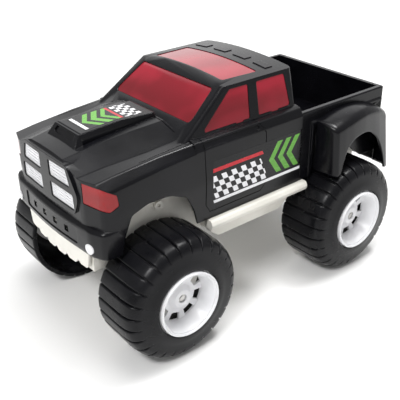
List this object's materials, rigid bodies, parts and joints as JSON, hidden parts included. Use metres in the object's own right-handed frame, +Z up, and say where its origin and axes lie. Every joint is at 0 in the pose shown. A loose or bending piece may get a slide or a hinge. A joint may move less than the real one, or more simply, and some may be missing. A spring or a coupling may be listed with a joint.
{
  "type": "toy monster pickup truck",
  "caption": "Toy pickup truck: hollow black shell with cab and load bed on an ivory chassis, red windows and large lugged wheels that roll.",
  "frame": {"origin": "on the ground at the middle of the truck's length and width", "axes": "+X to the truck's left side, -Y to its front, +Z up"},
  "size_m": [0.261, 0.4, 0.2553],
  "materials": {
    "shell_black": "glossy moulded plastic",
    "clear_red": "clear red moulded plastic",
    "grille_white": "white moulded plastic",
    "ivory": "satin ivory plastic",
    "steel": "plain drawn steel",
    "tyre_black": "semi-gloss hollow moulded plastic",
    "rim_white": "white moulded plastic"
  },
  "bodies": {
    "truck": {"body_shell": "shell_black", "window_moulding": "clear_red", "grille_insert": "grille_white", "chassis": "ivory", "body_screws": "steel", "headlight_left": "clear_red", "headlight_right": "clear_red", "fog_lamp_left": "grille_white", "fog_lamp_right": "grille_white", "axle_front": "steel", "axle_rear": "steel"},
    "wheel_front_left": {"tyre_front_left": "tyre_black", "rim_front_left": "rim_white"},
    "wheel_front_right": {"tyre_front_right": "tyre_black", "rim_front_right": "rim_white"},
    "wheel_rear_left": {"tyre_rear_left": "tyre_black", "rim_rear_left": "rim_white"},
    "wheel_rear_right": {"tyre_rear_right": "tyre_black", "rim_rear_right": "rim_white"}
  },
  "joints": [
    {"name": "wheel_front_left_spin", "type": "hinge", "parent": "truck", "child": "wheel_front_left", "pos_m": [0.1, -0.125, 0.067], "axis": [1, 0, 0], "continuous": true},
    {"name": "wheel_front_right_spin", "type": "hinge", "parent": "truck", "child": "wheel_front_right", "pos_m": [-0.1, -0.125, 0.067], "axis": [1, 0, 0], "continuous": true},
    {"name": "wheel_rear_left_spin", "type": "hinge", "parent": "truck", "child": "wheel_rear_left", "pos_m": [0.1, 0.125, 0.067], "axis": [1, 0, 0], "continuous": true},
    {"name": "wheel_rear_right_spin", "type": "hinge", "parent": "truck", "child": "wheel_rear_right", "pos_m": [-0.1, 0.125, 0.067], "axis": [1, 0, 0], "continuous": true}
  ]
}
